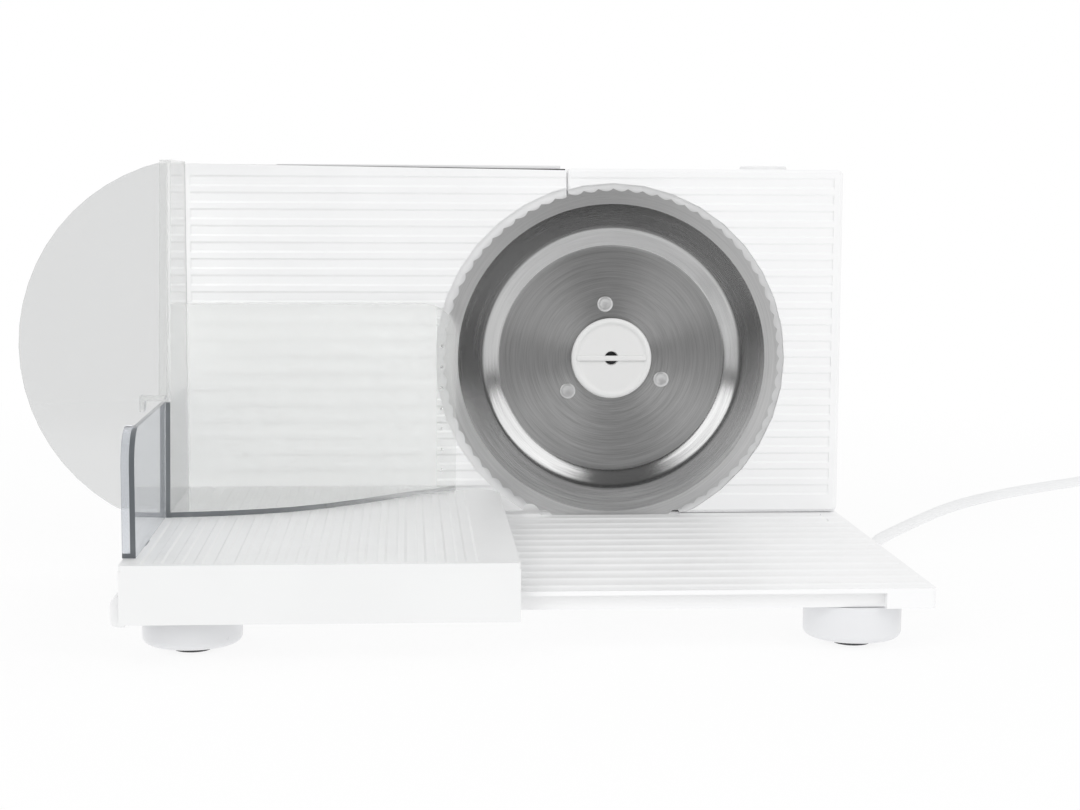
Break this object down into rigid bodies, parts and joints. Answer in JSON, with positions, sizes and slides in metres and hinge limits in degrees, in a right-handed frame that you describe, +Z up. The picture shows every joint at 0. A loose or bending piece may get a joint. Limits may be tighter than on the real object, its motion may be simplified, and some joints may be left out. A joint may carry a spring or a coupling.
{
  "type": "electric food slicer",
  "caption": "Compact electric food slicer: scalloped round blade, ribbed white housing and gauge plate, sliding carriage with clear pusher and thumb guard, feet and mains lead.",
  "frame": {"origin": "on the table, below the middle of the object without its lead", "axes": "+X to the right along the carriage's travel, +Y away from the user (the blade's axis), +Z up"},
  "size_m": [0.7419, 0.5074, 0.2034],
  "materials": {
    "white_plastic": "satin white moulding",
    "foot_plastic": "satin white moulding",
    "inner_plastic": "plain white moulding",
    "gear_plastic": "natural nylon",
    "black_plastic": "black moulding",
    "smoke_clear_plastic": "clear, slightly grey",
    "clear_plastic": "clear",
    "cord_white": "white PVC sheath",
    "pad_rubber": "dark grey rubber",
    "blade_steel": "circular brushed stainless steel",
    "plain_steel": "turned steel",
    "screw_steel": "zinc plated",
    "core_steel": "stacked sheets",
    "bracket_aluminium": "cast",
    "winding_copper": "steel sheets with copper windings",
    "bush_brass": "sintered bronze",
    "pin_brass": "nickel plated"
  },
  "bodies": {
    "frame": {"base_platform": "white_plastic", "rail_end_cap": "white_plastic", "foot_front_left": "foot_plastic", "foot_front_right": "foot_plastic", "foot_rear_left": "foot_plastic", "foot_rear_right": "foot_plastic", "foot_pad_front_left": "pad_rubber", "foot_pad_front_right": "pad_rubber", "foot_pad_rear_left": "pad_rubber", "foot_pad_rear_right": "pad_rubber", "motor_housing": "white_plastic", "rear_cover": "white_plastic", "motor_field_core": "core_steel", "motor_bracket_left": "bracket_aluminium", "motor_bracket_right": "bracket_aluminium", "gearbox_plate": "plain_steel", "spindle_bush_front": "bush_brass", "spindle_bush_rear": "bush_brass", "shaft_end_bush": "bush_brass", "power_switch": "black_plastic", "power_button_spring": "plain_steel", "gauge_guide": "inner_plastic", "cover_screw_1": "screw_steel", "cover_screw_2": "screw_steel", "cover_screw_3": "screw_steel", "cover_screw_4": "screw_steel", "base_screw_1": "screw_steel", "base_screw_2": "screw_steel", "cord_grip": "inner_plastic", "strain_relief": "cord_white", "cord_run": "cord_white", "cord_coil": "cord_white", "plug_body": "cord_white", "plug_pin_1": "pin_brass", "plug_pin_2": "pin_brass"},
    "armature": {"armature_shaft": "plain_steel", "armature_core": "winding_copper", "cooling_fan": "black_plastic", "worm": "plain_steel"},
    "blade": {"slicing_blade": "blade_steel", "blade_hub": "inner_plastic", "blade_rivet_1": "plain_steel", "blade_rivet_2": "plain_steel", "blade_rivet_3": "plain_steel", "blade_spindle": "plain_steel", "worm_wheel": "gear_plastic"},
    "lock_knob": {"blade_lock_knob": "white_plastic"},
    "carriage": {"carriage_tray": "white_plastic", "thumb_guard": "smoke_clear_plastic"},
    "pusher": {"food_pusher": "clear_plastic"},
    "gauge": {"gauge_plate": "white_plastic", "gauge_carrier": "inner_plastic", "guide_rod_left": "plain_steel", "guide_rod_right": "plain_steel", "cam_follower": "inner_plastic"},
    "dial": {"thickness_dial": "white_plastic", "barrel_cam": "inner_plastic"},
    "power_button": {"power_button": "white_plastic"},
    "lock_button": {"lock_button": "white_plastic"}
  },
  "joints": [
    {"name": "armature_spin", "type": "hinge", "parent": "frame", "child": "armature", "pos_m": [0.14, 0.09535, 0.1304], "axis": [1, 0, 0], "continuous": true},
    {"name": "blade_spin", "type": "hinge", "parent": "frame", "child": "blade", "pos_m": [0.088, 0.06, 0.1064], "axis": [0, 1, 0], "continuous": true},
    {"name": "blade_lock_turn", "type": "hinge", "parent": "blade", "child": "lock_knob", "pos_m": [0.088, 0.06, 0.1064], "axis": [0, 1, 0], "range_deg": [0, 70]},
    {"name": "carriage_slide", "type": "slide", "parent": "frame", "child": "carriage", "axis": [1, 0, 0], "range_m": [0, 0.17]},
    {"name": "pusher_slide", "type": "slide", "parent": "carriage", "child": "pusher", "axis": [0, -1, 0], "range_m": [0, 0.095]},
    {"name": "gauge_slide", "type": "slide", "parent": "frame", "child": "gauge", "axis": [0, 1, 0], "range_m": [0, 0.015]},
    {"name": "dial_turn", "type": "hinge", "parent": "frame", "child": "dial", "pos_m": [0.11, 0.14, 0.0634], "axis": [0, 1, 0], "range_deg": [0, 270]},
    {"name": "power_button_press", "type": "slide", "parent": "frame", "child": "power_button", "axis": [0, 0, -1], "range_m": [0, 0.003], "stiffness_N_per_m": 600, "springref_m": -0.002, "deforming": ["power_button_spring"]},
    {"name": "lock_button_press", "type": "slide", "parent": "frame", "child": "lock_button", "axis": [0, -1, 0], "range_m": [0, 0.0025], "stiffness_N_per_m": 600, "springref_m": -0.002}
  ],
  "couplings": [
    {"joint": "blade_spin", "follows": "armature_spin", "ratio": -0.027778},
    {"joint": "dial_turn", "follows": "gauge_slide", "rad_per_m": 314.15}
  ]
}
